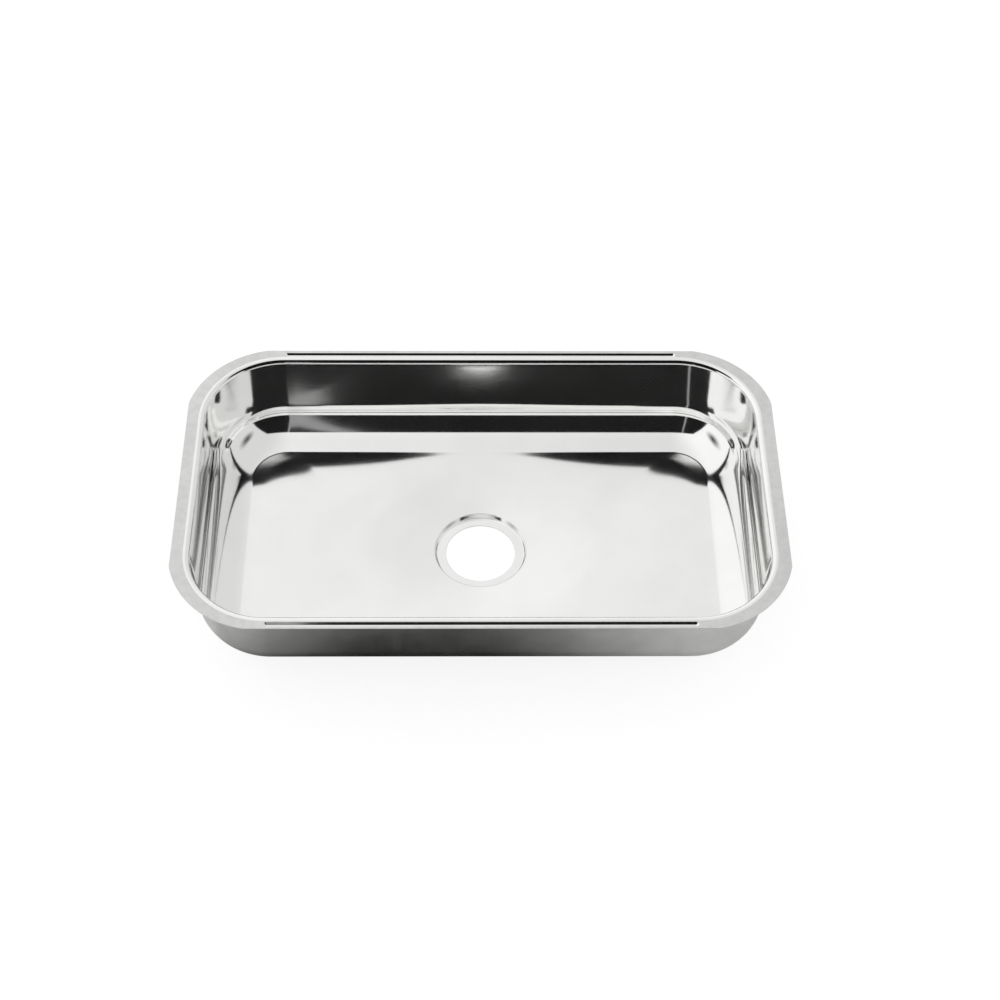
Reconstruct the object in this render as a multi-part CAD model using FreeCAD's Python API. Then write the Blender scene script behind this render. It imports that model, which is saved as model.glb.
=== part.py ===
"""Undermount kitchen sink: one deep-drawn stainless steel bowl with a flat flange, and the
four sound-deadening pads bonded under its floor.

Origin: centre of the waste, at the lowest point of the pressing. +X right, +Y to the back,
+Z up. Millimetres.
"""
import FreeCAD, Part
import math
import os

V = FreeCAD.Vector
UP = V(0, 0, 1)

# Sheet
sheet = 1.0                     # stainless steel sheet

# Flange, seen from above
flange_length = 740.0
flange_width = 438.0
flange_end_rim = 16.3           # flat flange beside the opening, at the two short ends ...
flange_side_rim = 12.8          # ... and along the two long sides
corner_trim_radius = 118.5
corner_overrun_x = 3.0          # how far the arc's centre lies past the one that would run
corner_overrun_y = 2.0          # smoothly into the straight edges

# Bowl
opening_corner_radius = 101.0   # the opening is where the flat flange starts to bend down
rim_bend_radius = 6.0           # on the seen side of the sheet
wall_draft = 2.0                # degrees
wall_height = 123.9             # flange top to the edge of the floor
upper_fillet_radius = 38.0      # the floor fillet turns in more tightly under the wall ...
lower_fillet_radius = 60.6      # ... than above the floor
fillet_switch_tilt = 57.0       # degrees from level where the two meet
floor_edge_tilt = 9.0           # degrees from level where the fillet ends and the floor starts
floor_fall = 14.3               # from the edge of the floor down to the waste
dish_length = 300.0             # oval round the waste where the floor's fall has levelled out
dish_width = 210.0              # to the cone that runs down to the recess
dish_fall = 7.1                 # from that oval down to the waste

# Waste outlet
recess_diameter = 117.0
recess_depth = 7.5
recess_draft = 12.0             # degrees
recess_rim_radius = 1.2
recess_root_radius = 2.0
recess_rim_land = 2.0           # turned ring that joins the recess to the falling floor
hole_edge_radius = 0.4
waste_diameter = 88.9

# Sealant grooves along the two long sides of the flange
groove_from_corner = 1.5        # end of the groove to the centre of the trimmed corner
groove_width = 6.5
groove_depth = 2.4
groove_from_edge = 7.3          # groove centre line to the edge of the flange

# Sound-deadening pads under the floor
pad_thickness = 2.5
side_pad_length = 150.0
side_pad_width = 230.0
side_pad_from_recess = 25.0
end_pad_length = 104.0
end_pad_width = 44.0
end_pad_from_recess = 8.0
pad_corner_radius = 12.0

# Sizes that follow
opening_length = flange_length - 2 * flange_end_rim
opening_width = flange_width - 2 * flange_side_rim
corner_centre_x = flange_length / 2 - corner_trim_radius + corner_overrun_x
corner_centre_y = flange_width / 2 - corner_trim_radius + corner_overrun_y
groove_length = 2 * (corner_centre_x - groove_from_corner)

# Levels above the lowest point of the pressing
seat_level = sheet
recess_rim_level = seat_level + recess_depth
floor_edge_level = recess_rim_level + floor_fall
flange_top = floor_edge_level + wall_height
flange_bottom = flange_top - sheet
recess_outer = recess_diameter / 2 + recess_rim_land


def rounded_rectangle(length, width, radius, level):
    """Closed wire of four sides and four corner arcs, anticlockwise from the right side."""
    x, y = length / 2, width / 2
    a, b = x - radius, y - radius
    s = radius * math.sqrt(0.5)

    def at(px, py):
        return V(px, py, level)

    edges = [
        Part.LineSegment(at(x, -b), at(x, b)).toShape(),
        Part.Arc(at(x, b), at(a + s, b + s), at(a, y)).toShape(),
        Part.LineSegment(at(a, y), at(-a, y)).toShape(),
        Part.Arc(at(-a, y), at(-a - s, b + s), at(-x, b)).toShape(),
        Part.LineSegment(at(-x, b), at(-x, -b)).toShape(),
        Part.Arc(at(-x, -b), at(-a - s, -b - s), at(-a, -y)).toShape(),
        Part.LineSegment(at(-a, -y), at(a, -y)).toShape(),
        Part.Arc(at(a, -y), at(a + s, -b - s), at(x, -b)).toShape(),
    ]
    return Part.Wire(edges)


def eight_arc_oval(length, width, level, matched):
    """An oval cut into eight arcs that face the eight edges of the wire it is lofted to."""
    angles = [math.atan2(v.Point.y, v.Point.x) for v in matched.OrderedVertexes]
    centre = V(0, 0, level)
    if abs(length - width) < 0.001:
        oval = Part.Circle(centre, UP, length / 2)
    elif length > width:
        oval = Part.Ellipse(centre, length / 2, width / 2)
    else:
        oval = Part.Ellipse(centre, width / 2, length / 2)
        oval.rotate(FreeCAD.Placement(centre, FreeCAD.Rotation(UP, 90), V(0, 0, 0)))
        angles = [t - math.pi / 2 for t in angles]
    arcs = []
    for i, start in enumerate(angles):
        end = angles[(i + 1) % len(angles)]
        while end < start:
            end += 2 * math.pi
        arcs.append(oval.toShape(start, end))
    return Part.Wire(arcs)


def flange_outline(level):
    """Straight sides cut across the corner arcs, which leaves a slight kink at each end."""
    x, y = flange_length / 2, flange_width / 2
    r = corner_trim_radius
    side_y = corner_centre_y + math.sqrt(r ** 2 - (x - corner_centre_x) ** 2)
    end_x = corner_centre_x + math.sqrt(r ** 2 - (y - corner_centre_y) ** 2)
    first = math.acos((x - corner_centre_x) / r)
    last = math.asin((y - corner_centre_y) / r)
    mid = (first + last) / 2
    mid_x = corner_centre_x + r * math.cos(mid)
    mid_y = corner_centre_y + r * math.sin(mid)
    edges = []
    corners = [(1, 1), (-1, 1), (-1, -1), (1, -1)]
    for sx, sy in corners:
        points = [V(sx * x, sy * side_y, level), V(sx * mid_x, sy * mid_y, level),
                  V(sx * end_x, sy * y, level)]
        if sx * sy < 0:
            points.reverse()
        edges.append(Part.Arc(*points).toShape())
    outline = []
    for i, arc in enumerate(edges):
        following = edges[(i + 1) % len(edges)]
        outline.append(arc)
        outline.append(Part.LineSegment(arc.lastVertex(True).Point,
                                        following.firstVertex(True).Point).toShape())
    return Part.Wire(outline)


def bowl_side(grow):
    """The bowl's side from the flange top down to the edge of the floor, as points of a line
    and two arcs. Each point is its inset from the opening's edge and its level."""
    draft = math.radians(wall_draft)
    upper, lower = upper_fillet_radius, lower_fillet_radius
    switch, edge = math.radians(fillet_switch_tilt), math.radians(floor_edge_tilt)
    lower_depth = wall_height - lower * math.cos(edge)
    upper_depth = lower_depth + (lower - upper) * math.cos(switch)
    wall_end = upper_depth + upper * math.sin(draft)
    upper_inset = rim_bend_radius + wall_end * math.tan(draft) + upper * math.cos(draft)
    lower_inset = upper_inset + (lower - upper) * math.sin(switch)

    def on_arc(inset, depth, radius, tilt):
        reach = radius + grow
        return inset - reach * math.sin(tilt), flange_top - depth - reach * math.cos(tilt)

    upright = math.pi / 2 - draft
    wall_top = (rim_bend_radius - grow / math.cos(draft), flange_top)
    return [
        wall_top,
        on_arc(upper_inset, upper_depth, upper, upright),
        on_arc(upper_inset, upper_depth, upper, (upright + switch) / 2),
        on_arc(upper_inset, upper_depth, upper, switch),
        on_arc(lower_inset, lower_depth, lower, (switch + edge) / 2),
        on_arc(lower_inset, lower_depth, lower, edge),
    ]


def swept_side(side, place):
    """The face between the bowl's side and an upright line at the corner's centre."""
    points = [place(opening_corner_radius - inset, level) for inset, level in side]
    foot, head = place(0, side[-1][1]), place(0, side[0][1])
    edges = [
        Part.LineSegment(points[0], points[1]).toShape(),
        Part.Arc(points[1], points[2], points[3]).toShape(),
        Part.Arc(points[3], points[4], points[5]).toShape(),
        Part.LineSegment(points[5], foot).toShape(),
        Part.LineSegment(foot, head).toShape(),
        Part.LineSegment(head, points[0]).toShape(),
    ]
    return Part.Face(Part.Wire(edges))


def floor_dish(grow, rise):
    """The shallow space over the falling floor, carried straight up by the given rise."""
    inset, bottom = bowl_side(grow)[-1]
    edges = [rounded_rectangle(opening_length - 2 * inset, opening_width - 2 * inset,
                               opening_corner_radius - inset, level)
             for level in ([bottom + rise] if rise else []) + [bottom]]
    recess_level = recess_rim_level - grow
    oval = eight_arc_oval(dish_length, dish_width, recess_level + dish_fall, edges[0])
    recess = eight_arc_oval(2 * recess_outer, 2 * recess_outer, recess_level, edges[0])
    return Part.makeLoft(edges + [oval, recess], True, True)


def bowl_block(grow):
    """The space inside the bowl, grown outwards and downwards by a skin of the given
    thickness: drafted walls, the two-radius floor fillet, and the floor that falls to the
    waste."""
    side = bowl_side(grow)
    bottom = side[-1][1]
    half_x = opening_length / 2 - opening_corner_radius
    half_y = opening_width / 2 - opening_corner_radius
    block = Part.makeBox(2 * half_x, 2 * half_y, side[0][1] - bottom, V(-half_x, -half_y, bottom))
    pieces = []
    for sx, sy in ((1, 1), (-1, 1), (-1, -1), (1, -1)):
        centre = V(sx * half_x, sy * half_y, 0)
        face = swept_side(side, lambda r, z: centre + V(sx * r, 0, z))
        pieces.append(face.revolve(centre, UP, 90 * sx * sy))
    for sign in (1, -1):
        face = swept_side(side, lambda r, z: V(sign * (half_x + r), -half_y, z))
        pieces.append(face.extrude(V(0, 2 * half_y, 0)))
        face = swept_side(side, lambda r, z: V(-half_x, sign * (half_y + r), z))
        pieces.append(face.extrude(V(2 * half_x, 0, 0)))
    block = block.multiFuse(pieces).removeSplitter()
    return block.fuse(floor_dish(grow, 0)).removeSplitter()


def groove_bar(radius, centre_level, y):
    """A round bar with ball ends, laid along X."""
    half = groove_length / 2 - groove_width / 2
    bar = Part.makeCylinder(radius, 2 * half, V(-half, y, centre_level), V(1, 0, 0))
    for x in (-half, half):
        bar = bar.fuse(Part.makeSphere(radius, V(x, y, centre_level)))
    return bar


def press_grooves(shell):
    """Presses the groove into both long sides of the flange, with its ridge underneath."""
    radius = (groove_width ** 2 / 4 + groove_depth ** 2) / (2 * groove_depth)
    centre_level = flange_top + radius - groove_depth
    below = Part.makeBox(2 * flange_length, 2 * flange_width, 2 * flange_top,
                         V(-flange_length, -flange_width, flange_bottom + sheet / 2 - 2 * flange_top))
    for side in (-1, 1):
        y = side * (flange_width / 2 - groove_from_edge)
        ridge = groove_bar(radius + sheet, centre_level, y).common(below)
        shell = shell.fuse(ridge).cut(groove_bar(radius, centre_level, y))
    return shell


def circular_edges(shape, radius, level):
    """Whole circles about the waste's axis at the given radius and level."""
    found = []
    for edge in shape.Edges:
        curve = edge.Curve
        if isinstance(curve, Part.Circle) and abs(curve.Radius - radius) < 0.001:
            if abs(edge.CenterOfMass.z - level) < 0.001:
                found.append(edge)
    return found


def make_recess():
    """The turned shape of the waste recess: rim, drafted wall, seat and the open hole."""
    lean = recess_depth * math.tan(math.radians(recess_draft))
    skin = sheet / math.cos(math.radians(recess_draft)) - sheet * math.tan(math.radians(recess_draft))
    rim = recess_diameter / 2
    root = rim - lean
    hole = waste_diameter / 2
    under_rim = recess_rim_level - sheet
    profile = [(recess_outer, recess_rim_level), (rim, recess_rim_level), (root, seat_level),
               (hole, seat_level), (hole, 0), (root + skin, 0), (rim + skin, under_rim),
               (recess_outer, under_rim)]
    points = [V(r, 0, z) for r, z in profile]
    turned = Part.Face(Part.makePolygon(points + points[:1])).revolve(V(0, 0, 0), UP, 360)
    turned = Part.Solid(turned) if turned.ShapeType == "Shell" else turned
    bends = [
        (rim, recess_rim_level, recess_rim_radius),
        (rim + skin, under_rim, recess_rim_radius / 2),
        (root, seat_level, recess_root_radius),
        (root + skin, 0, recess_root_radius + sheet / 2),
        (hole, seat_level, hole_edge_radius),
    ]
    for radius, level, bend in bends:
        turned = turned.makeFillet(bend, circular_edges(turned, radius, level))
    return turned


def opening_edges(shape, level):
    """The edges at one level that run round the opening, inside the flange's own outline."""
    x, y = opening_length / 2, opening_width / 2
    return [e for e in shape.Edges
            if all(abs(v.Z - level) < 0.001 and abs(v.X) < x and abs(v.Y) < y
                   for v in e.Vertexes)]


def make_bowl():
    """Flange, bowl and recess as one pressing of even thickness."""
    shell = Part.Face(flange_outline(flange_bottom)).extrude(V(0, 0, sheet))
    shell = shell.fuse(bowl_block(sheet)).cut(bowl_block(0))
    hole = Part.makeCylinder(recess_outer, flange_top, V(0, 0, -1))
    shell = shell.cut(hole).fuse(make_recess())

    shell = shell.makeFillet(rim_bend_radius, opening_edges(shell, flange_top))
    shell = shell.makeFillet(rim_bend_radius - sheet, opening_edges(shell, flange_bottom))
    return press_grooves(shell)


def make_pad(length, width, x, y):
    """A pad cut with round corners that follows the fall of the floor it is bonded to."""
    blank = Part.Face(rounded_rectangle(length, width, pad_corner_radius, 0)).extrude(
        V(0, 0, floor_edge_level))
    blank.translate(V(x, y, 0))
    layer = floor_dish(sheet, 2 * pad_thickness)
    layer.translate(V(0, 0, -pad_thickness))
    return blank.common(layer).cut(floor_dish(sheet, 2 * pad_thickness))


def make_pads():
    side_x = recess_diameter / 2 + side_pad_from_recess + side_pad_length / 2
    end_y = recess_diameter / 2 + end_pad_from_recess + end_pad_width / 2
    return {
        "sound_pad_left": make_pad(side_pad_length, side_pad_width, -side_x, 0),
        "sound_pad_right": make_pad(side_pad_length, side_pad_width, side_x, 0),
        "sound_pad_front": make_pad(end_pad_length, end_pad_width, 0, -end_y),
        "sound_pad_back": make_pad(end_pad_length, end_pad_width, 0, end_y),
    }


def main():
    os.makedirs("parts", exist_ok=True)
    nodes = {"bowl": make_bowl()}
    nodes.update(make_pads())
    for name, shape in nodes.items():
        solid = shape.Solids[0]
        box = solid.BoundBox
        print(name, "valid", solid.isValid(), "solids", len(shape.Solids),
              "volume", round(solid.Volume), "size", round(box.XLength, 2),
              round(box.YLength, 2), round(box.ZLength, 2), "from", round(box.ZMin, 3))
        solid.exportStep(os.path.join("parts", name + ".step"))


main()
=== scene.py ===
import bpy
import math
from mathutils import Matrix, Vector


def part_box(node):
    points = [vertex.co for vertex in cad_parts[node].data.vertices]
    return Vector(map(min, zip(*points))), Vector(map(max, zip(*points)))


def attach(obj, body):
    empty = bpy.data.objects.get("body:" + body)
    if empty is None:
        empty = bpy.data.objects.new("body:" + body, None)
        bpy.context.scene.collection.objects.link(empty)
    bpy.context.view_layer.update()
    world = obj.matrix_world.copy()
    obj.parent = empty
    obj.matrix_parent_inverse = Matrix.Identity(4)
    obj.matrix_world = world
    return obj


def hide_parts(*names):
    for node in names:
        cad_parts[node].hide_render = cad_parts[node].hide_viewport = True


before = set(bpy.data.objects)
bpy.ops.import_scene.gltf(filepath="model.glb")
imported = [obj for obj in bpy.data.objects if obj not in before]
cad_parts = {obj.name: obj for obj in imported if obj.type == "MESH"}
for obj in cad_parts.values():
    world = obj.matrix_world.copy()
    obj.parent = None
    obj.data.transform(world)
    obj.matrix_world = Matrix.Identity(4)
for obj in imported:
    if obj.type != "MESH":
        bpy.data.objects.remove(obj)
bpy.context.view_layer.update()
print("stage 1: the packed frame is loaded")

mm = 0.001
tiny = 0.00002                      # how close two levels count as the same, in metres
weld = 0.000001                     # how close two points count as one, in metres
bowlLow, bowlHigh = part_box("bowl")
flangeTop = bowlHigh.z


def selectNothing():
    if bpy.context.object and bpy.context.object.mode == "EDIT":
        bpy.ops.object.mode_set(mode="OBJECT")
    bpy.ops.object.select_all(action="DESELECT")


def selectPiece(piece):
    selectNothing()
    bpy.context.view_layer.objects.active = piece
    piece.select_set(True)


def pick(piece, kind, test):
    # leaves the piece in edit mode with only the vertices, edges or faces selected that pass the test
    selectPiece(piece)
    bpy.ops.object.mode_set(mode="EDIT")
    bpy.ops.mesh.select_mode(type=kind)
    bpy.ops.mesh.select_all(action="DESELECT")
    bpy.ops.object.mode_set(mode="OBJECT")
    mesh = piece.data
    for item in {"VERT": mesh.vertices, "EDGE": mesh.edges, "FACE": mesh.polygons}[kind]:
        item.select = test(item)
    bpy.ops.object.mode_set(mode="EDIT")


def edgeEnds(piece, edge):
    return [piece.data.vertices[i].co for i in edge.vertices]


def roundedPlate(name, length, width, corner, level, steps, cutsLong=0, cutsShort=0, y=0):
    # a flat face with four round corners, its long sides along X, and its straight sides cut up if asked
    selectNothing()
    bpy.ops.mesh.primitive_plane_add(size=1, location=(0, y, level))
    bpy.ops.transform.resize(value=(length, width, 1))
    bpy.ops.object.transform_apply(location=True, rotation=True, scale=True)
    plate = bpy.context.object
    plate.name = name
    bpy.ops.object.mode_set(mode="EDIT")
    bpy.ops.mesh.select_all(action="SELECT")
    bpy.ops.mesh.bevel(affect="VERTICES", offset_type="OFFSET", offset=corner, segments=steps, profile=0.5)
    for cuts, axis in ((cutsLong, 0), (cutsShort, 1)):
        if cuts:
            span = (length, width)[axis] - 2 * corner
            pick(plate, "EDGE", lambda e: abs(abs(edgeEnds(plate, e)[0][axis]
                                                  - edgeEnds(plate, e)[1][axis]) - span) < tiny)
            bpy.ops.mesh.subdivide(number_cuts=cuts)
            bpy.ops.mesh.select_mode(type="FACE")
            bpy.ops.mesh.select_all(action="SELECT")
            bpy.ops.mesh.dissolve_faces(use_verts=False)       # one face again, with the new points kept
    selectNothing()
    return plate


def insetFace(thickness, depth):
    # goes in and down from the selected face, as the press does
    bpy.ops.mesh.inset(thickness=thickness, depth=-depth, use_even_offset=True, use_boundary=True)


bowlSizes = dict(
    sheet=1.0, endRim=16.3, sideRim=12.8,                       # millimetres and degrees throughout
    trimCorner=118.5, trimOverrunX=3.0, trimOverrunY=2.0,       # the flange's cut corners
    openingCorner=101.0, rimBend=6.0, polishedRim=1.8,
    wallDraft=2.0, wallHeight=123.9,
    upperFillet=38.0, lowerFillet=60.6, filletSwitch=57.0,      # two radii, and the lean where they meet
    floorTilt=9.0, floorFall=14.3, dishLength=300.0, dishWidth=210.0, dishFall=7.1,
    recess=117.0, recessLand=2.0, recessDepth=7.5, recessDraft=12.0, recessRim=1.2, recessRoot=2.0,
    waste=88.9, seatRing=2.0, easedEdge=0.3,
    grooveFromCorner=1.5, grooveWidth=6.7, grooveShoulder=0.5, grooveBottom=1.0,
    grooveFrontTilt=43.0, grooveBackTilt=34.3, grooveFrontEdge=6.4, grooveBackEdge=7.3,
    sharpEdge=60.0, smoothBelow=40.0,
    cornerSteps=28, longCuts=43, shortCuts=17, bendSteps=9, wallSteps=5, upperSteps=10, lowerSteps=24,
    floorSteps=12, dishSteps=8, ringSteps=5, easedSteps=3,
    grooveSteps=10, grooveCuts=60, shoulderSteps=4, bottomSteps=7)


def bowlProfile(s):
    # steps in and down from the opening's edge: rim bend, drafted wall, then the fillet's two arcs
    turn = math.radians(90 - s["wallDraft"])
    slope = math.tan(math.radians(s["wallDraft"]))
    switch, edge = math.radians(s["filletSwitch"]), math.radians(s["floorTilt"])
    upper, lower = s["upperFillet"], s["lowerFillet"]
    bendStart = s["rimBend"] * (1 - math.tan(turn / 2))
    points = [(bendStart, 0)]
    for i in range(1, s["bendSteps"] + 1):
        a = turn * i / s["bendSteps"]
        points.append((bendStart + s["rimBend"] * math.sin(a), s["rimBend"] * (1 - math.cos(a))))
    lowerDepth = s["wallHeight"] - lower * math.cos(edge)
    upperDepth = lowerDepth + (lower - upper) * math.cos(switch)
    wallEnd = upperDepth + upper * math.cos(turn)
    upperInset = s["rimBend"] + wallEnd * slope + upper * math.sin(turn)
    lowerInset = upperInset + (lower - upper) * math.sin(switch)
    wallStart = points[-1][1]
    for i in range(1, s["wallSteps"] + 1):
        depth = wallStart + (wallEnd - wallStart) * i / s["wallSteps"]
        points.append((s["rimBend"] + depth * slope, depth))
    arcs = ((upperInset, upperDepth, upper, turn, switch, s["upperSteps"]),
            (lowerInset, lowerDepth, lower, switch, edge, s["lowerSteps"]))
    for inset, depth, radius, start, end, steps in arcs:
        for i in range(1, steps + 1):
            a = start + (end - start) * i / steps
            points.append((inset - radius * math.sin(a), depth + radius * math.cos(a)))
    return points


def grooveProfile(s, tilt):
    # a rounded shoulder, a flank, then the round bottom
    turn = math.radians(tilt)
    shoulder, bottom = s["grooveShoulder"], s["grooveBottom"]
    points = [(0, 0)]
    for i in range(1, s["shoulderSteps"] + 1):
        a = turn * i / s["shoulderSteps"]
        points.append((shoulder * math.sin(a), shoulder * (1 - math.cos(a))))
    flank = s["grooveWidth"] / 2 - (shoulder + bottom) * math.sin(turn)
    reach, depth = points[-1][0] + flank, points[-1][1] + flank * math.tan(turn)
    for i in range(s["bottomSteps"]):
        a = turn * (1 - i / s["bottomSteps"])
        points.append((reach + bottom * (math.sin(turn) - math.sin(a)),
                       depth + bottom * (math.cos(a) - math.cos(turn))))
    return points


def recessProfile(s):
    # radius and level of each turned ring, from the land to the hole
    lean = math.radians(s["recessDraft"])
    rim, root = s["recess"] / 2, s["recess"] / 2 - s["recessDepth"] * math.tan(lean)
    turn = math.pi / 2 - lean
    rings = []
    reach = s["recessRim"] * math.tan(turn / 2)
    for i in range(s["ringSteps"] + 1):
        a = turn * i / s["ringSteps"]
        rings.append((rim + reach - s["recessRim"] * math.sin(a),
                      s["recessDepth"] - s["recessRim"] * (1 - math.cos(a))))
    reach = s["recessRoot"] * math.tan(turn / 2)
    for i in range(s["ringSteps"] + 1):
        a = turn * (1 - i / s["ringSteps"])
        rings.append((root - reach + s["recessRoot"] * math.sin(a), s["recessRoot"] * (1 - math.cos(a))))
    rings.append((s["waste"] / 2 + s["seatRing"], 0))
    rings.append((s["waste"] / 2, 0))
    return rings


def makeBowl(s):
    longSide = bowlHigh.x - bowlLow.x
    shortSide = bowlHigh.y - bowlLow.y
    grow = s["polishedRim"] * mm
    bowl = roundedPlate("bowl_pressing", longSide - 2 * s["endRim"] * mm + 2 * grow,
                        shortSide - 2 * s["sideRim"] * mm + 2 * grow, s["openingCorner"] * mm + grow,
                        flangeTop, s["cornerSteps"], s["longCuts"], s["shortCuts"])

    # press the bowl out of that face, ring by ring
    pick(bowl, "FACE", lambda f: True)
    last = (-s["polishedRim"], 0)
    for point in bowlProfile(s):
        insetFace((point[0] - last[0]) * mm, (point[1] - last[1]) * mm)
        last = point
    bpy.ops.mesh.delete(type="ONLY_FACE")
    print("stage 2: rim, walls and floor fillet are pressed")

    # the floor falls to an oval, and from there as a cone to the turned ring round the waste
    edgeLevel = flangeTop - s["wallHeight"] * mm
    ringLevel = edgeLevel - s["floorFall"] * mm
    ovalLevel = ringLevel + s["dishFall"] * mm
    pick(bowl, "EDGE", lambda e: all(abs(v.z - edgeLevel) < tiny for v in edgeEnds(bowl, e)))
    bpy.ops.mesh.extrude_edges_move(TRANSFORM_OT_translate={"value": (0, 0, ovalLevel - edgeLevel)})
    bpy.ops.transform.tosphere(value=1)
    bpy.ops.object.mode_set(mode="OBJECT")
    radius = next(math.hypot(v.co.x, v.co.y) for v in bowl.data.vertices if v.select)
    bpy.ops.object.mode_set(mode="EDIT")
    halfX, halfY = s["dishLength"] / 2 * mm, s["dishWidth"] / 2 * mm
    bpy.ops.transform.resize(value=(halfX / radius, halfY / radius, 1), center_override=(0, 0, ovalLevel))
    land = (s["recess"] / 2 + s["recessLand"]) * mm
    bpy.ops.mesh.extrude_edges_move(TRANSFORM_OT_translate={"value": (0, 0, ringLevel - ovalLevel)})
    bpy.ops.transform.resize(value=(land / halfX, land / halfY, 1), center_override=(0, 0, ringLevel))

    # turned recess, its seat and the hole
    seatLevel = ringLevel - s["recessDepth"] * mm
    lastRadius, lastLevel = land, ringLevel
    for ring, height in recessProfile(s):
        level = seatLevel + height * mm
        bpy.ops.mesh.extrude_edges_move(TRANSFORM_OT_translate={"value": (0, 0, level - lastLevel)})
        bpy.ops.transform.resize(value=(ring * mm / lastRadius, ring * mm / lastRadius, 1),
                                 center_override=(0, 0, level))
        lastRadius, lastLevel = ring * mm, level
    for top, bottom, cuts in ((edgeLevel, ovalLevel, s["floorSteps"]),
                              (ovalLevel, ringLevel, s["dishSteps"])):
        pick(bowl, "EDGE", lambda e: abs(max(v.z for v in edgeEnds(bowl, e)) - top) < tiny
             and abs(min(v.z for v in edgeEnds(bowl, e)) - bottom) < tiny)
        bpy.ops.mesh.subdivide(number_cuts=cuts)
    print("stage 3: floor, recess and hole are in")

    # the flange's cut outline and the two grooves, each its own plate
    outline = roundedPlate("outline", longSide + 2 * s["trimOverrunX"] * mm,
                           shortSide + 2 * s["trimOverrunY"] * mm, s["trimCorner"] * mm, flangeTop,
                           2 * s["cornerSteps"])
    for x, y in ((1, 0), (-1, 0), (0, 1), (0, -1)):
        pick(outline, "FACE", lambda f: True)
        bpy.ops.mesh.bisect(plane_co=(x * longSide / 2, y * shortSide / 2, flangeTop), plane_no=(x, y, 0),
                            clear_outer=True, threshold=weld)
    bpy.ops.mesh.select_all(action="SELECT")
    bpy.ops.mesh.delete(type="ONLY_FACE")
    plates = [outline]
    grooveLength = longSide - 2 * (s["trimCorner"] - s["trimOverrunX"] + s["grooveFromCorner"]) * mm
    almostHalf, endWeld = 0.499, 0.01                           # shares of the groove's width
    for side, tilt, edge in ((-1, s["grooveFrontTilt"], s["grooveFrontEdge"]),
                             (1, s["grooveBackTilt"], s["grooveBackEdge"])):
        width = s["grooveWidth"] * mm
        groove = roundedPlate("groove", grooveLength, width, width * almostHalf, flangeTop,
                              s["grooveSteps"], s["grooveCuts"], y=side * (shortSide / 2 - edge * mm))
        pick(groove, "VERT", lambda v: True)
        bpy.ops.mesh.remove_doubles(threshold=width * endWeld)
        pick(groove, "FACE", lambda f: True)
        rings = grooveProfile(s, tilt)
        for last, ring in zip(rings, rings[1:]):
            insetFace((ring[0] - last[0]) * mm, (ring[1] - last[1]) * mm)
        plates.append(groove)
    selectPiece(bowl)
    for plate in plates:
        plate.select_set(True)
    bpy.ops.object.join()
    pick(bowl, "EDGE", lambda e: False)
    bpy.ops.mesh.select_non_manifold(extend=False, use_wire=True, use_boundary=True, use_multi_face=False,
                                     use_non_contiguous=False, use_verts=False)      # every open edge
    bpy.ops.object.mode_set(mode="OBJECT")
    for e in bowl.data.edges:
        if e.select and any(abs(v.z - flangeTop) > tiny for v in edgeEnds(bowl, e)):
            e.select = False
    bpy.ops.object.mode_set(mode="EDIT")
    bpy.ops.mesh.fill(use_beauty=True)
    bpy.ops.mesh.select_all(action="SELECT")
    bpy.ops.mesh.remove_doubles(threshold=weld)
    bpy.ops.mesh.normals_make_consistent(inside=False)
    selectNothing()
    print("stage 4: flange and grooves are in")
    return bowl


def giveThickness(bowl, s):
    # the sheet grows away from its seen side, its cut edges are eased, and the flats are shaded flat
    skin = bowl.modifiers.new("skin", "SOLIDIFY")
    skin.thickness = s["sheet"] * mm
    skin.offset = -1
    skin.use_even_offset = True
    skin.material_offset = len(bowl.data.materials) // 2
    skin.material_offset_rim = len(bowl.data.materials) // 2
    selectPiece(bowl)
    bpy.ops.object.modifier_apply(modifier="skin")
    bpy.ops.object.mode_set(mode="EDIT")
    bpy.ops.mesh.select_mode(type="EDGE")
    bpy.ops.mesh.select_all(action="DESELECT")
    bpy.ops.mesh.edges_select_sharp(sharpness=math.radians(s["sharpEdge"]))
    bpy.ops.mesh.bevel(offset_type="OFFSET", offset=s["easedEdge"] * mm, segments=s["easedSteps"],
                       profile=0.5)
    selectPiece(bowl)
    bpy.ops.object.shade_smooth_by_angle(angle=math.radians(s["smoothBelow"]))
    flats = bowl.modifiers.new("flats", "WEIGHTED_NORMAL")
    flats.keep_sharp = True
    bpy.ops.object.modifier_apply(modifier="flats")


def linearColour(hexCode):
    # sRGB hex to the linear values that the shaders take
    channels = [int(hexCode[i:i + 2], 16) / 255 for i in (1, 3, 5)]
    return [c / 12.92 if c <= 0.04045 else ((c + 0.055) / 1.055) ** 2.4 for c in channels] + [1]


def addNode(tree, kind, settings=None, inputs=()):
    # one node with its settings; inputs go by name or in order, and a node feeds by its first output
    node = tree.nodes.new(kind)
    for name, value in (settings or {}).items():
        setattr(node, name, value)
    for name, value in inputs.items() if isinstance(inputs, dict) else enumerate(inputs):
        if isinstance(value, bpy.types.Node):
            value = value.outputs[0]
        if isinstance(value, bpy.types.NodeSocket):
            tree.links.new(value, node.inputs[name])
        else:
            node.inputs[name].default_value = value
    return node


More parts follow.
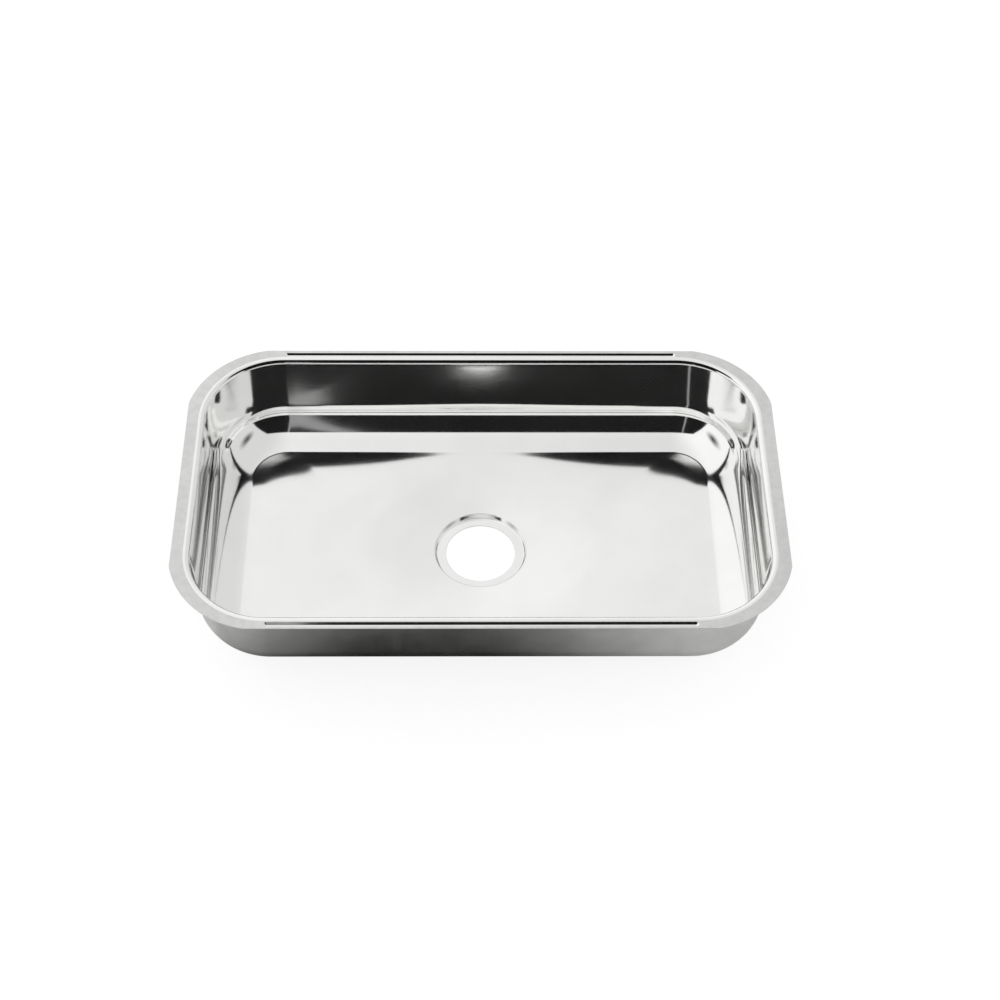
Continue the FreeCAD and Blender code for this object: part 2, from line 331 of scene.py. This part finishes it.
def startMaterial(name, patterns=()):
    # a new material and its noises: cells in millimetres along X, Y and Z, then detail and roughness
    material = bpy.data.materials.new(name)
    material.use_nodes = True
    tree = material.node_tree
    tree.nodes.clear()
    noises = []
    for cell, detail, rough in patterns:
        place = addNode(tree, "ShaderNodeTexCoord").outputs["Object"]
        scaled = addNode(tree, "ShaderNodeMapping", {},
                         {"Vector": place, "Scale": [1 / (side * mm) for side in cell]})
        noises.append(addNode(tree, "ShaderNodeTexNoise", {},
                              {"Vector": scaled, "Scale": 1.0, "Detail": detail, "Roughness": rough}))
    return material, tree, *noises


smooth = {"interpolation_type": "SMOOTHSTEP"}                   # settings that several materials share
colours = {"data_type": "RGBA"}
plus, times = {"operation": "ADD"}, {"operation": "MULTIPLY"}
usual = (0.3, 0.7)                                              # a noise mostly stays between these

finishSizes = dict(                                             # millimetres, cells along X, Y and Z
    drawWaves=(142.86, 142.86, 16.67),                          # long waves left by the draw
    buffLines=(16.67, 1.1111, 1.1111),                          # real lines are finer: drawn to show
    polishClouds=(62.5, 62.5, 62.5), polishHeights=(16.0, 22.6),
    turnPitch=0.9, turnEdge=(1.5, 0.5),                         # real rings are finer: drawn to show
    satinGrain=(14.286, 0.55556, 0.55556),                      # real grain is finer: drawn to show
    satinPatches=(10.526, 10.526, 10.526), satinWide=(111.11, 111.11, 111.11),
    drawStreaks=(2.381, 2.381, 71.43), dieClouds=(45.455, 45.455, 45.455),
    pebbles=(1.1111, 1.1111, 1.1111), chalk=(25.0, 25.0, 25.0),
    waveDepth=0.03, lineDepth=0.003, turnDepth=0.006, grainDepth=0.006, pebbleDepth=0.12)


def polishedStainless(s, recess):
    # 304 stainless sheet, drawn and then buffed: mirror walls and floor, and a seat turned in fine rings
    material, tree, waves, lines, clouds = startMaterial("polishedStainless", (
        (s["drawWaves"], 2.0, 0.5), (s["buffLines"], 3.0, 0.5), (s["polishClouds"], 3.0, 0.5)))
    place = addNode(tree, "ShaderNodeTexCoord").outputs["Object"]
    parts = addNode(tree, "ShaderNodeSeparateXYZ", {}, (place,))
    across = addNode(tree, "ShaderNodeCombineXYZ", {}, (parts.outputs["X"], parts.outputs["Y"]))
    radius = addNode(tree, "ShaderNodeVectorMath", {"operation": "LENGTH"}, (across,)).outputs["Value"]
    turns = addNode(tree, "ShaderNodeMath", times, (radius, 2 * math.pi / (s["turnPitch"] * mm)))
    inner, outer = ((recess / 2 - edge) * mm for edge in s["turnEdge"])
    low, high = (level * mm for level in s["polishHeights"])
    seat = addNode(tree, "ShaderNodeMapRange", smooth, (radius, inner, outer, 1.0, 0.0))
    rings = addNode(tree, "ShaderNodeMath", times,
                    (addNode(tree, "ShaderNodeMath", {"operation": "SINE"}, (turns,)), seat))
    rough = addNode(tree, "ShaderNodeMapRange", smooth, (parts.outputs["Z"], low, high, 0.11, 0.075))
    for noise, least, most in ((lines, 0.93, 1.08), (clouds, 0.92, 1.10)):
        share = addNode(tree, "ShaderNodeMapRange", smooth, (noise, *usual, least, most))
        rough = addNode(tree, "ShaderNodeMath", times, (rough, share))
    share = addNode(tree, "ShaderNodeMapRange", smooth, (clouds, 0.35, 0.65, 0.0, 1.0))
    tone = addNode(tree, "ShaderNodeMix", colours,
                   {0: share, 6: linearColour("#f6f6f5"), 7: linearColour("#f9f9f8")})
    relief = None
    for height, strength, depth in ((waves, 1.0, s["waveDepth"]), (lines, 0.10, s["lineDepth"]),
                                    (rings, 0.35, s["turnDepth"])):
        inputs = {"Strength": strength, "Distance": depth * mm, "Height": height}
        if relief:
            inputs["Normal"] = relief
        relief = addNode(tree, "ShaderNodeBump", {}, inputs)
    return finishMaterial(material, tone, rough, relief)


def satinStainless(s):
    # the flange keeps the mill's satin: fine grain along the sheet, slightly mottled from handling
    material, tree, grain, patches, wide = startMaterial("satinStainless", (
        (s["satinGrain"], 3.0, 0.5), (s["satinPatches"], 4.0, 0.6), (s["satinWide"], 2.0, 0.5)))
    mottle = addNode(tree, "ShaderNodeMath", plus, (addNode(tree, "ShaderNodeMath", times, (patches, 0.6)),
                                                    addNode(tree, "ShaderNodeMath", times, (wide, 0.4))))
    share = addNode(tree, "ShaderNodeMapRange", smooth, (mottle, 0.36, 0.64, 0.0, 1.0))
    tone = addNode(tree, "ShaderNodeMix", colours,
                   {0: share, 6: linearColour("#d6d6d5"), 7: linearColour("#e0e0df")})
    rough = addNode(tree, "ShaderNodeMath", plus,
                    (addNode(tree, "ShaderNodeMapRange", smooth, (mottle, *usual, 0.44, 0.34)),
                     addNode(tree, "ShaderNodeMapRange", smooth, (grain, *usual, -0.03, 0.03))))
    relief = addNode(tree, "ShaderNodeBump", {},
                     {"Strength": 0.4, "Distance": s["grainDepth"] * mm, "Height": grain})
    return finishMaterial(material, tone, rough, relief)


def drawnStainless(s):
    # the unpolished outside of the pressing: draw lines down the walls and cloudy die marks
    material, tree, streaks, clouds = startMaterial("drawnStainless", (
        (s["drawStreaks"], 3.0, 0.5), (s["dieClouds"], 4.0, 0.6)))
    share = addNode(tree, "ShaderNodeMapRange", smooth, (clouds, 0.35, 0.65, 0.0, 1.0))
    tone = addNode(tree, "ShaderNodeMix", colours,
                   {0: share, 6: linearColour("#cbcbc9"), 7: linearColour("#d3d3d1")})
    rough = addNode(tree, "ShaderNodeMath", plus,
                    (addNode(tree, "ShaderNodeMapRange", smooth, (clouds, *usual, 0.30, 0.34)),
                     addNode(tree, "ShaderNodeMapRange", smooth, (streaks, *usual, -0.02, 0.02))))
    relief = addNode(tree, "ShaderNodeBump", {},
                     {"Strength": 0.15, "Distance": s["grainDepth"] * mm, "Height": streaks})
    return finishMaterial(material, tone, rough, relief)


def dampingRubber(s):
    # black bitumen-filled rubber sheet, matt, with a fine pebbled skin and a little chalk on it
    material, tree, pebbles, chalk = startMaterial("dampingRubber", (
        (s["pebbles"], 2.0, 0.5), (s["chalk"], 5.0, 0.65)))
    share = addNode(tree, "ShaderNodeMapRange", smooth, (chalk, 0.45, 0.75, 0.0, 1.0))
    tone = addNode(tree, "ShaderNodeMix", colours,
                   {0: share, 6: linearColour("#1b1b1c"), 7: linearColour("#2b2b2c")})
    rough = addNode(tree, "ShaderNodeMapRange", smooth, (chalk, *usual, 0.72, 0.88))
    relief = addNode(tree, "ShaderNodeBump", {},
                     {"Strength": 0.5, "Distance": s["pebbleDepth"] * mm, "Height": pebbles})
    return finishMaterial(material, tone, rough, relief, 0.0)


def finishMaterial(material, tone, rough, relief, metallic=1.0):
    tree = material.node_tree
    surface = addNode(tree, "ShaderNodeBsdfPrincipled", {},
                      {"Base Color": tone.outputs[2], "Metallic": metallic, "Roughness": rough,
                       "Normal": relief})
    addNode(tree, "ShaderNodeOutputMaterial", {}, (surface,))
    return material


def finishBowl(bowl, s):
    # the first two go on the seen side, the last two on its back and edges
    satin, polished = satinStainless(finishSizes), polishedStainless(finishSizes, s["recess"])
    drawn = drawnStainless(finishSizes)
    for material in (satin, polished, drawn, drawn):
        bowl.data.materials.append(material)
    corner = s["openingCorner"] * mm
    cornerX = (bowlHigh.x - bowlLow.x) / 2 - s["endRim"] * mm - corner
    cornerY = (bowlHigh.y - bowlLow.y) / 2 - s["sideRim"] * mm - corner
    for face in bowl.data.polygons:
        x, y, z = face.center
        outside = math.hypot(max(abs(x) - cornerX, 0), max(abs(y) - cornerY, 0)) - corner
        pressed = z < flangeTop - tiny                          # the two grooves are as bright as the bowl
        face.material_index = 0 if outside > s["polishedRim"] * mm and not pressed else 1


bowl = makeBowl(bowlSizes)
finishBowl(bowl, bowlSizes)
giveThickness(bowl, bowlSizes)
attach(bowl, "root")
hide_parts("bowl")
print("stage 5: the bowl has its thickness and finish,", len(bowl.data.polygons), "faces")

rubber = dampingRubber(finishSizes)
for name in ("sound_pad_left", "sound_pad_right", "sound_pad_front", "sound_pad_back"):
    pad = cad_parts[name]
    pad.data.materials.clear()
    pad.data.materials.append(rubber)

studioSizes = dict(
    floor=12.0, floorDrop=0.0002,                               # metres, and shares of one
    farCardY=-2.2, farCardTop=3.91, farCardLow=2.75, farCardHigh=1.7, slotStart=-0.54, slotEnd=-0.43,
    sideCardX=2.3, sideCardY=-0.65, sideCardZ=1.85, sideCardHalf=1.2, sideCardSquat=0.6,
    nearCardStart=-0.16, nearCardEnd=-0.6, nearCardFade=0.36, nearCardLeft=-0.48, nearCardRight=0.32,
    nearCardLift=0.001, wallCardY=0.17, wallCardX=0.40, wallCardLow=0.155, wallCardTop=0.29,
    # the cards' solidity and shades set the painted reflections and painted shade that they put in the
    # steel
    sideCardSolid=0.0, nearCardSolid=0.22, wallCardSolid=0.7,
    farShade="#1c1c1c", slotShade="#a8a8a8", sideShade="#5a5a5a", nearShade="#303030",
    wallShade="#161616",
    roomRise=0.6, roomStart=0.1, roomEnd=0.9)                   # where the room turns from light to dim
boundless = 99.0                                                # metres, so far that a card never fades


def flatSheet(name, corners):
    # a square moved to four corners, for the floor and the cards
    selectNothing()
    bpy.ops.mesh.primitive_plane_add(size=1, location=(0, 0, 0))
    sheet = bpy.context.object
    sheet.name = name
    for vertex, corner in zip(sheet.data.vertices, (corners[0], corners[1], corners[3], corners[2])):
        vertex.co = corner
    return sheet


def paleFloor():
    # white studio floor: its own colour lights the steel and shows in it, and the camera sees plain white
    material, tree = startMaterial("paleFloor")
    own = addNode(tree, "ShaderNodeBsdfDiffuse", {}, {"Color": linearColour("#fafafa")})
    part = addNode(tree, "ShaderNodeBsdfDiffuse", {}, {"Color": linearColour("#868686")})
    lift = addNode(tree, "ShaderNodeEmission", {}, {"Color": linearColour("#ececec"), "Strength": 1.0})
    seen = addNode(tree, "ShaderNodeAddShader", {}, (part, lift))
    direct = addNode(tree, "ShaderNodeLightPath").outputs["Is Camera Ray"]
    both = addNode(tree, "ShaderNodeMixShader", {}, (direct, own, seen))
    addNode(tree, "ShaderNodeOutputMaterial", {}, (both,))
    return material


def paintedReflectionCard(name, shade, middle=(0, 0, 0), reach=(boundless,) * 3, solid=0.8, oneSided=False):
    # a sheet of painted reflection: solid round its middle and gone at its reach, and gone from behind if
    # it is one-sided
    material, tree = startMaterial(name)
    place = addNode(tree, "ShaderNodeTexCoord").outputs["Object"]
    off = addNode(tree, "ShaderNodeVectorMath", {"operation": "SUBTRACT"}, (place, middle))
    share = addNode(tree, "ShaderNodeVectorMath", {"operation": "DIVIDE"}, (off, reach))
    away = addNode(tree, "ShaderNodeVectorMath", {"operation": "LENGTH"}, (share,)).outputs["Value"]
    gone = addNode(tree, "ShaderNodeMapRange", smooth, (away, solid, 1.0, 0.0, 1.0))
    if oneSided:
        behind = addNode(tree, "ShaderNodeNewGeometry").outputs["Backfacing"]
        gone = addNode(tree, "ShaderNodeMath", {"operation": "MAXIMUM"}, (gone, behind))
    card = addNode(tree, "ShaderNodeBsdfDiffuse", {}, {"Color": linearColour(shade)})
    through = addNode(tree, "ShaderNodeBsdfTransparent")
    both = addNode(tree, "ShaderNodeMixShader", {}, (gone, card, through))
    addNode(tree, "ShaderNodeOutputMaterial", {}, (both,))
    return material


def levelSheet(name, x1, x2, y1, y2, z):
    return flatSheet(name, [(x1, y1, z), (x2, y1, z), (x2, y2, z), (x1, y2, z)])


def makeCards(s, low):
    # each card is a sheet and its material, and each paints a reflection into the steel
    # painted reflection: tall dark sheets behind the camera, with a grey slot between them, darken what
    # the steel mirrors from the front and leave a lighter band
    y, top, wide, narrow = s["farCardY"], s["farCardTop"], s["farCardLow"], s["farCardHigh"]
    start, end = s["slotStart"], s["slotEnd"]
    tall = paintedReflectionCard("tallCard", s["farShade"], reach=(wide, boundless, boundless))
    left = flatSheet("card_far_left", [(-wide, y, low), (start, y, low),
                                       (start, y, top), (-narrow, y, top)])
    right = flatSheet("card_far_right", [(end, y, low), (wide, y, low), (narrow, y, top), (end, y, top)])
    slot = flatSheet("card_slot", [(start, y, low), (end, y, low), (end, y, top), (start, y, top)])
    cards = [(left, tall), (right, tall), (slot, paintedReflectionCard("slotCard", s["slotShade"]))]

    # painted reflection: a grey sheet at each side, fading out from its middle, puts soft dark patches in
    # the steel
    half, y, z = s["sideCardHalf"], s["sideCardY"], s["sideCardZ"]
    for name, x in (("card_left", -s["sideCardX"]), ("card_right", s["sideCardX"])):
        sheet = flatSheet(name, [(x, y - half, z - half), (x, y + half, z - half),
                                 (x, y + half, z + half), (x, y - half, z + half)])
        reach = (boundless, half, half * s["sideCardSquat"])
        cards.append((sheet, paintedReflectionCard(name, s["sideShade"], (x, y, z), reach, s["sideCardSolid"])))

    # painted shade: a dark sheet on the floor in front of the sink, darkest next to it and fading away,
    # stands in for the floor's shade there as the front walls mirror it
    first, last, y = s["nearCardLeft"], s["nearCardRight"], s["nearCardStart"]
    sheet = levelSheet("card_near", first, last, s["nearCardEnd"], y, low + s["nearCardLift"])
    reach = ((last - first) / 2, s["nearCardFade"], boundless)
    cards.append((sheet, paintedReflectionCard("nearCard", s["nearShade"], ((first + last) / 2, y, 0), reach,
                                  s["nearCardSolid"])))

    # painted reflection: a dark one-sided sheet hanging just above the bowl near its back wall puts dark
    # reflections into the inside of the bowl
    x, y, bottom, top = s["wallCardX"], s["wallCardY"], s["wallCardLow"], s["wallCardTop"]
    sheet = flatSheet("card_wall", [(x, y, bottom), (-x, y, bottom), (-x, y, top), (x, y, top)])
    cards.append((sheet, paintedReflectionCard("wallCard", s["wallShade"], reach=(x, boundless, boundless),
                                  solid=s["wallCardSolid"], oneSided=True)))
    return cards


def makeStudio(s):
    half = s["floor"] / 2
    low = bowlLow.z - s["floorDrop"]
    levelSheet("studio_floor", -half, half, -half, half, low).data.materials.append(paleFloor())
    # the cards are painted reflection: the camera doesn't see them, and they neither shade nor light
    # anything else
    for card, material in makeCards(s, low):
        card.data.materials.append(material)
        card.visible_camera = False                             # only the steel sees these cards
        card.visible_diffuse = False
        card.visible_shadow = False

    # a soft room, lightest at its left side and dimmer overhead and to the right
    world = bpy.data.worlds.new("studio")
    bpy.context.scene.world = world
    world.use_nodes = True
    tree = world.node_tree
    tree.nodes.clear()
    place = addNode(tree, "ShaderNodeTexCoord").outputs["Generated"]
    way = addNode(tree, "ShaderNodeSeparateXYZ", {}, (place,))
    rise = addNode(tree, "ShaderNodeMath", times, (way.outputs["Z"], s["roomRise"]))
    turned = addNode(tree, "ShaderNodeMath", plus, (rise, way.outputs["X"]))
    dim = addNode(tree, "ShaderNodeMapRange", smooth, (turned, s["roomStart"], s["roomEnd"], 0.0, 1.0))
    room = addNode(tree, "ShaderNodeMix", colours,
                   {0: dim, 6: linearColour("#ffffff"), 7: linearColour("#dedede")})
    direct = addNode(tree, "ShaderNodeLightPath").outputs["Is Camera Ray"]
    seen = addNode(tree, "ShaderNodeMix", colours,
                   {0: direct, 6: room.outputs[2], 7: linearColour("#ffffff")})
    sky = addNode(tree, "ShaderNodeBackground", {}, {"Color": seen.outputs[2], "Strength": 1.0})
    addNode(tree, "ShaderNodeOutputWorld", {}, (sky,))


makeStudio(studioSizes)
print("stage 6: the studio is set")

cameraSettings = dict(
    place=(-0.0107, -1.4796, 1.9691), lens=68.785, sensor=36.0,
    pitch=51.47, yaw=1.336, roll=1.043)                        # degrees: down, to the right, clockwise


def makeCamera(s):
    pitch, yaw, roll = (math.radians(s[name]) for name in ("pitch", "yaw", "roll"))
    ahead = Vector((math.sin(yaw) * math.cos(pitch), math.cos(yaw) * math.cos(pitch), -math.sin(pitch)))
    level = Vector((math.cos(yaw), -math.sin(yaw), 0))
    upright = level.cross(ahead)
    right = math.cos(roll) * level + math.sin(roll) * upright
    up = math.cos(roll) * upright - math.sin(roll) * level
    lens = bpy.data.cameras.new("camera")
    lens.lens = s["lens"]
    lens.sensor_width = s["sensor"]
    camera = bpy.data.objects.new("camera", lens)
    bpy.context.scene.collection.objects.link(camera)
    camera.matrix_world = Matrix((right, up, -ahead)).transposed().to_4x4()
    camera.location = s["place"]
    bpy.context.scene.camera = camera


makeCamera(cameraSettings)
bpy.context.scene.view_settings.view_transform = "Standard"
